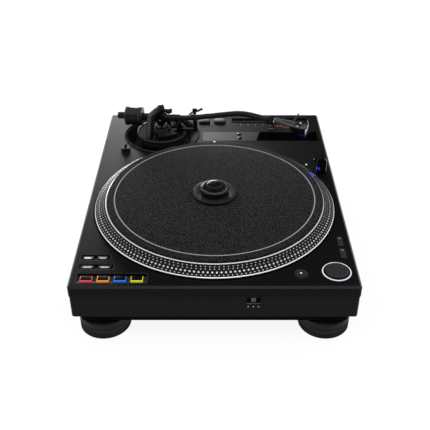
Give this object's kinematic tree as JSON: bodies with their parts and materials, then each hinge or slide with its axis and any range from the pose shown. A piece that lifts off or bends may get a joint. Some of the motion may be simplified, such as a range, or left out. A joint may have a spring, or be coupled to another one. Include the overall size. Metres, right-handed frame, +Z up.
{
  "type": "dj turntable",
  "caption": "Direct-drive disc player with a turning platter, felt mat, record clamp, S-shaped tone arm on a height ring, tempo fader, lit pads and keys, on adjustable feet.",
  "frame": {"origin": "centre of the footprint on the standing surface", "axes": "+X to the player's right, +Y away from the player towards the tone arm, +Z up"},
  "size_m": [0.353, 0.453, 0.1447],
  "materials": {
    "deck_metal": "satin black coat on die-cast metal",
    "base_resin": "fine-grained moulding",
    "cover_plastic": "matt moulding",
    "motor_metal": "lacquered core and windings",
    "bearing_metal": "turned",
    "board_green": "solder mask",
    "well_metal": "satin dark grey",
    "tray_plastic": "fine-grained moulding",
    "display_gloss": "polished",
    "label_metal": "brushed grey",
    "lens_clear": "translucent",
    "black_plastic": "satin",
    "black_gloss": "polished",
    "jack_metal": "gold plated",
    "screw_steel": "black oxide",
    "platter_metal": "dark anodised with turned bright marks",
    "magnet": "coated",
    "spindle_steel": "ground",
    "felt": "felt",
    "pad_red": "translucent rim, dark top",
    "pad_orange": "translucent rim, dark top",
    "pad_blue": "translucent rim, dark top",
    "pad_yellow": "translucent rim, dark top",
    "foot_rubber": "ribbed",
    "arm_black": "black anodised",
    "arm_silver": "machined",
    "weight_black": "satin black coat",
    "dial_plastic": "satin grey with printed marks",
    "lead_wire": "insulated wire"
  },
  "bodies": {
    "chassis": {"deck_plate": "deck_metal", "base_chassis": "base_resin", "bottom_cover": "cover_plastic", "motor_stator": "motor_metal", "spindle_bearing": "bearing_metal", "circuit_boards": "board_green", "arm_well": "well_metal", "key_trays": "tray_plastic", "display_glass": "display_gloss", "label_strip": "label_metal", "fader_tray": "tray_plastic", "indicator_lenses": "lens_clear", "strobe_tower": "black_gloss", "shell_post": "black_plastic", "jack_bay": "cover_plastic", "rear_sockets": "jack_metal", "power_inlet": "black_plastic", "case_screws": "screw_steel"},
    "turntable": {"platter": "platter_metal", "rotor_magnet": "magnet", "spindle": "spindle_steel"},
    "clamp": {"record_clamp": "black_gloss"},
    "tone_arm": {"arm_tube": "arm_black"},
    "head": {"headshell": "arm_black", "cartridge": "black_plastic", "headshell_leads": "lead_wire"},
    "start_stop_button": {"start_stop_button": "black_plastic"},
    "motor_off_button": {"motor_off_button": "black_plastic"},
    "speed_key_1": {"speed_key_1": "black_plastic"},
    "speed_key_2": {"speed_key_2": "black_plastic"},
    "mode_key_1": {"mode_key_1": "black_plastic"},
    "mode_key_2": {"mode_key_2": "black_plastic"},
    "mode_key_3": {"mode_key_3": "black_plastic"},
    "mode_key_4": {"mode_key_4": "black_plastic"},
    "pad_1": {"pad_1": "pad_red"},
    "pad_2": {"pad_2": "pad_orange"},
    "pad_3": {"pad_3": "pad_blue"},
    "pad_4": {"pad_4": "pad_yellow"},
    "function_button_1": {"function_button_1": "tray_plastic"},
    "function_button_2": {"function_button_2": "tray_plastic"},
    "reset_button": {"reset_button": "black_plastic"},
    "tempo_fader": {"tempo_fader": "black_plastic"},
    "front_switch": {"front_switch": "tray_plastic"},
    "power_switch": {"power_switch": "black_plastic"},
    "target_light": {"target_light": "black_gloss"},
    "foot_1": {"foot_1": "foot_rubber"},
    "foot_2": {"foot_2": "foot_rubber"},
    "foot_3": {"foot_3": "foot_rubber"},
    "foot_4": {"foot_4": "foot_rubber"},
    "height_ring": {"height_ring": "arm_black"},
    "arm_clip": {"arm_clip": "black_plastic"},
    "anti_skate_knob": {"anti_skate_knob": "arm_silver"},
    "cue_lever": {"cue_lever": "arm_silver"},
    "lifter_bar": {"lifter_bar": "black_plastic"},
    "gimbal": {"gimbal": "arm_silver"},
    "locking_collar": {"locking_collar": "arm_black"},
    "counterweight": {"counterweight": "weight_black"},
    "force_dial": {"force_dial": "dial_plastic"},
    "slipmat": {"slipmat": "felt"},
    "arm_base": {"arm_base": "arm_black"}
  },
  "joints": [
    {"name": "platter_spin", "type": "hinge", "parent": "chassis", "child": "turntable", "pos_m": [0, -0.0469, 0.08975], "axis": [0, 0, 1], "continuous": true},
    {"name": "slipmat_slip", "type": "hinge", "parent": "turntable", "child": "slipmat", "pos_m": [0, -0.0469, 0.08975], "axis": [0, 0, 1], "continuous": true},
    {"name": "clamp_lift", "type": "slide", "parent": "slipmat", "child": "clamp", "axis": [0, 0, 1], "range_m": [0, 0.06]},
    {"name": "start_stop_button_press", "type": "slide", "parent": "chassis", "child": "start_stop_button", "axis": [0, 0, -1], "range_m": [0, 0.0012], "stiffness_N_per_m": 900},
    {"name": "motor_off_button_press", "type": "slide", "parent": "chassis", "child": "motor_off_button", "axis": [0, 0, -1], "range_m": [0, 0.0012], "stiffness_N_per_m": 900},
    {"name": "speed_key_1_press", "type": "slide", "parent": "chassis", "child": "speed_key_1", "axis": [0, 0, -1], "range_m": [0, 0.0012], "stiffness_N_per_m": 900},
    {"name": "speed_key_2_press", "type": "slide", "parent": "chassis", "child": "speed_key_2", "axis": [0, 0, -1], "range_m": [0, 0.0012], "stiffness_N_per_m": 900},
    {"name": "mode_key_1_press", "type": "slide", "parent": "chassis", "child": "mode_key_1", "axis": [0, 0, -1], "range_m": [0, 0.0012], "stiffness_N_per_m": 900},
    {"name": "mode_key_2_press", "type": "slide", "parent": "chassis", "child": "mode_key_2", "axis": [0, 0, -1], "range_m": [0, 0.0012], "stiffness_N_per_m": 900},
    {"name": "mode_key_3_press", "type": "slide", "parent": "chassis", "child": "mode_key_3", "axis": [0, 0, -1], "range_m": [0, 0.0012], "stiffness_N_per_m": 900},
    {"name": "mode_key_4_press", "type": "slide", "parent": "chassis", "child": "mode_key_4", "axis": [0, 0, -1], "range_m": [0, 0.0012], "stiffness_N_per_m": 900},
    {"name": "pad_1_press", "type": "slide", "parent": "chassis", "child": "pad_1", "axis": [0, 0, -1], "range_m": [0, 0.0012], "stiffness_N_per_m": 900},
    {"name": "pad_2_press", "type": "slide", "parent": "chassis", "child": "pad_2", "axis": [0, 0, -1], "range_m": [0, 0.0012], "stiffness_N_per_m": 900},
    {"name": "pad_3_press", "type": "slide", "parent": "chassis", "child": "pad_3", "axis": [0, 0, -1], "range_m": [0, 0.0012], "stiffness_N_per_m": 900},
    {"name": "pad_4_press", "type": "slide", "parent": "chassis", "child": "pad_4", "axis": [0, 0, -1], "range_m": [0, 0.0012], "stiffness_N_per_m": 900},
    {"name": "function_button_1_press", "type": "slide", "parent": "chassis", "child": "function_button_1", "axis": [0, 0, -1], "range_m": [0, 0.0012], "stiffness_N_per_m": 900},
    {"name": "function_button_2_press", "type": "slide", "parent": "chassis", "child": "function_button_2", "axis": [0, 0, -1], "range_m": [0, 0.0012], "stiffness_N_per_m": 900},
    {"name": "reset_button_press", "type": "slide", "parent": "chassis", "child": "reset_button", "axis": [0, 0, -1], "range_m": [0, 0.0012], "stiffness_N_per_m": 900},
    {"name": "tempo_fader_slide", "type": "slide", "parent": "chassis", "child": "tempo_fader", "axis": [1, 0, 0], "range_m": [-0.05, 0.05]},
    {"name": "front_switch_slide", "type": "slide", "parent": "chassis", "child": "front_switch", "axis": [1, 0, 0], "range_m": [-0.0045, 0.0045]},
    {"name": "power_switch_rock", "type": "hinge", "parent": "chassis", "child": "power_switch", "pos_m": [0.053, 0.212, 0.05925], "axis": [1, 0, 0], "range_deg": [0, 14]},
    {"name": "target_light_rise", "type": "slide", "parent": "chassis", "child": "target_light", "axis": [0, 0, 1], "range_m": [0, 0.03]},
    {"name": "foot_1_extend", "type": "slide", "parent": "chassis", "child": "foot_1", "axis": [0, 0, -1], "range_m": [0, 0.008]},
    {"name": "foot_2_extend", "type": "slide", "parent": "chassis", "child": "foot_2", "axis": [0, 0, -1], "range_m": [0, 0.008]},
    {"name": "foot_3_extend", "type": "slide", "parent": "chassis", "child": "foot_3", "axis": [0, 0, -1], "range_m": [0, 0.008]},
    {"name": "foot_4_extend", "type": "slide", "parent": "chassis", "child": "foot_4", "axis": [0, 0, -1], "range_m": [0, 0.008]},
    {"name": "height_ring_turn", "type": "hinge", "parent": "chassis", "child": "height_ring", "pos_m": [-0.08556, 0.15034, 0.08975], "axis": [0, 0, 1], "range_deg": [0, 180]},
    {"name": "arm_height", "type": "slide", "parent": "chassis", "child": "arm_base", "axis": [0, 0, 1], "range_m": [0, 0.006]},
    {"name": "arm_swing", "type": "hinge", "parent": "arm_base", "child": "gimbal", "pos_m": [-0.08556, 0.15034, 0.12345], "axis": [0, 0, -1], "range_deg": [0, 42]},
    {"name": "arm_tilt", "type": "hinge", "parent": "gimbal", "child": "tone_arm", "pos_m": [-0.08556, 0.15034, 0.12345], "axis": [-0.1045, -0.9945, 0], "range_deg": [-0.25, 9]},
    {"name": "weight_travel", "type": "slide", "parent": "tone_arm", "child": "force_dial", "axis": [0.9945, -0.1045, 0], "range_m": [-0.004, 0.004]},
    {"name": "weight_turn", "type": "hinge", "parent": "force_dial", "child": "counterweight", "pos_m": [-0.08556, 0.15034, 0.12345], "axis": [0.9945, -0.1045, 0], "range_deg": [-360, 360]},
    {"name": "anti_skate_turn", "type": "hinge", "parent": "arm_base", "child": "anti_skate_knob", "pos_m": [-0.06681, 0.14214, 0.09975], "axis": [0, 0, 1], "range_deg": [0, 270]},
    {"name": "cue_lever_turn", "type": "hinge", "parent": "arm_base", "child": "cue_lever", "pos_m": [-0.06128, 0.17092, 0.10525], "axis": [0.1045, 0.9945, 0], "range_deg": [0, 25]},
    {"name": "lifter_drop", "type": "slide", "parent": "arm_base", "child": "lifter_bar", "axis": [0, 0, -1], "range_m": [0, 0.008]},
    {"name": "arm_clip_turn", "type": "hinge", "parent": "arm_base", "child": "arm_clip", "pos_m": [-0.03209, 0.1561, 0.13125], "axis": [0.9857, 0.1687, 0], "range_deg": [0, 100]},
    {"name": "collar_turn", "type": "hinge", "parent": "tone_arm", "child": "locking_collar", "pos_m": [0.08545, 0.1414, 0.12345], "axis": [0.866, -0.5, 0], "range_deg": [0, 90]},
    {"name": "head_pull", "type": "slide", "parent": "tone_arm", "child": "head", "axis": [0.866, -0.5, 0], "range_m": [0, 0.02]}
  ],
  "couplings": [
    {"joint": "arm_height", "follows": "height_ring_turn", "m_per_rad": 0.0019099},
    {"joint": "weight_turn", "follows": "weight_travel", "rad_per_m": 1570.8},
    {"joint": "cue_lever_turn", "follows": "lifter_drop", "rad_per_m": 54.542}
  ]
}
